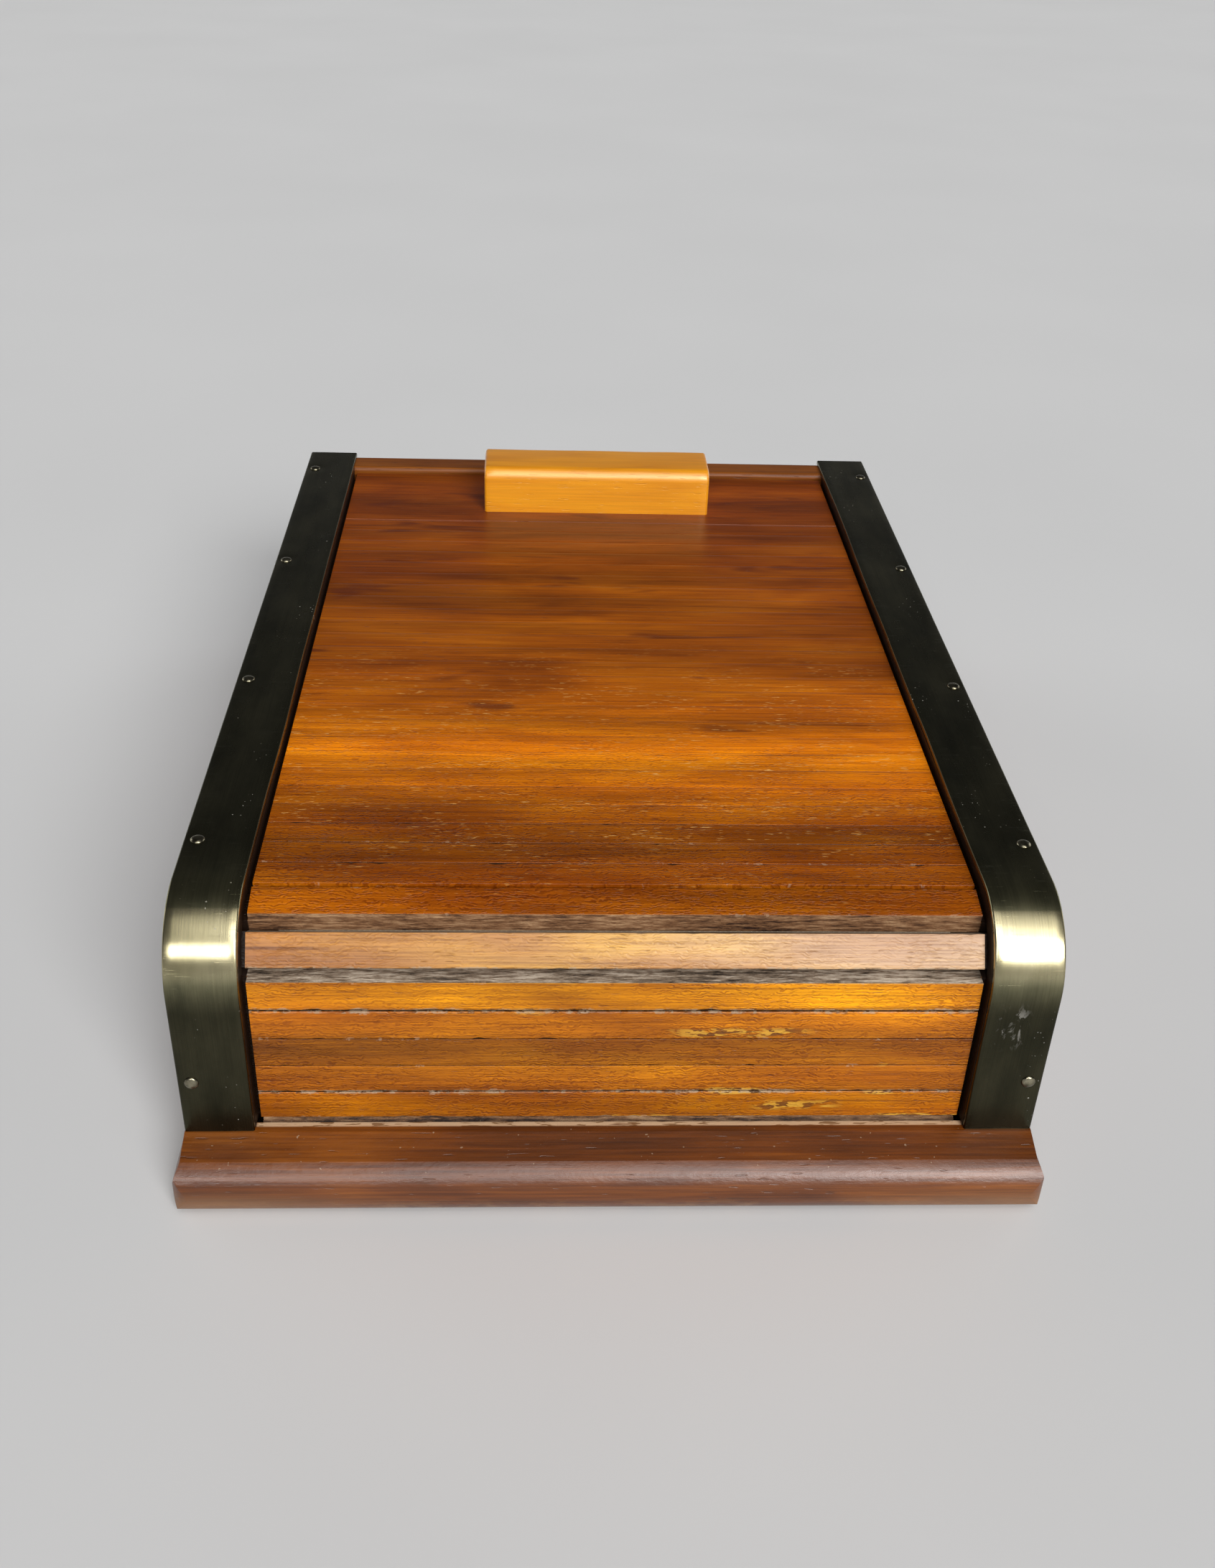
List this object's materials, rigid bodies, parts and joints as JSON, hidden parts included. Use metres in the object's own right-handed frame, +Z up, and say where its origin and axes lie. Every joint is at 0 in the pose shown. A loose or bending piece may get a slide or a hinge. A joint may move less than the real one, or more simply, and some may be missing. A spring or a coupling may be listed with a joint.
{
  "type": "tambour box",
  "caption": "Low wooden box with a roll-back lid of slats on cloth, which runs in side grooves round a curved front; brass strips cap the sides and a bar handle pulls the lid.",
  "frame": {"origin": "middle of the box's footprint, on the surface that it stands on", "axes": "+X across the box, +Y from the curved front to the back, +Z up"},
  "size_m": [0.155, 0.2206, 0.0666],
  "materials": {
    "slat_wood": "satin varnish",
    "case_wood": "satin varnish",
    "base_wood": "satin varnish",
    "inner_wood": "bare",
    "handle_wood": "satin varnish",
    "strip_brass": "aged, lightly brushed",
    "pin_brass": "polished",
    "screw_brass": "satin",
    "backing_cloth": "plain weave"
  },
  "bodies": {
    "box": {"base_board": "base_wood", "base_screws": "screw_brass", "side_panel_left": "case_wood", "side_panel_right": "case_wood", "brass_strip_left": "strip_brass", "brass_strip_right": "strip_brass", "strip_pins_left": "pin_brass", "strip_pins_right": "pin_brass", "rear_panel": "case_wood", "false_floor": "inner_wood", "front_guard": "inner_wood"},
    "lid": {"lead_board": "slat_wood", "handle": "handle_wood", "handle_screws": "screw_brass", "tambour_cloth": "backing_cloth", "slat_01": "slat_wood", "slat_02": "slat_wood", "slat_03": "slat_wood", "slat_04": "slat_wood", "slat_05": "slat_wood", "slat_06": "slat_wood", "slat_07": "slat_wood", "slat_08": "slat_wood", "slat_09": "slat_wood", "slat_10": "slat_wood", "slat_11": "slat_wood", "slat_12": "slat_wood", "slat_13": "slat_wood", "slat_14": "slat_wood", "slat_15": "slat_wood", "slat_16": "slat_wood", "slat_17": "slat_wood", "slat_18": "slat_wood", "slat_19": "slat_wood", "slat_20": "slat_wood", "slat_21": "slat_wood", "slat_22": "slat_wood", "slat_23": "slat_wood", "slat_24": "slat_wood", "slat_25": "slat_wood", "slat_26": "slat_wood", "slat_27": "slat_wood", "slat_28": "slat_wood", "slat_29": "slat_wood", "slat_30": "slat_wood", "slat_31": "slat_wood", "slat_32": "slat_wood", "slat_33": "slat_wood", "slat_34": "slat_wood"}
  },
  "joints": [
    {"name": "lid_slide", "type": "slide", "parent": "box", "child": "lid", "axis": [0, -1, 0], "range_m": [0, 0.155], "deforming": ["slat_01", "slat_02", "slat_03", "slat_04", "slat_05", "slat_06", "slat_07", "slat_08", "slat_09", "slat_10", "slat_11", "slat_12", "slat_13", "slat_14", "slat_15", "slat_16", "slat_17", "slat_18", "slat_19", "slat_20", "slat_21", "slat_22", "slat_23", "slat_24", "slat_25", "slat_26", "slat_27", "slat_28", "slat_29", "slat_30", "slat_31", "slat_32", "slat_33", "slat_34", "tambour_cloth"]}
  ]
}
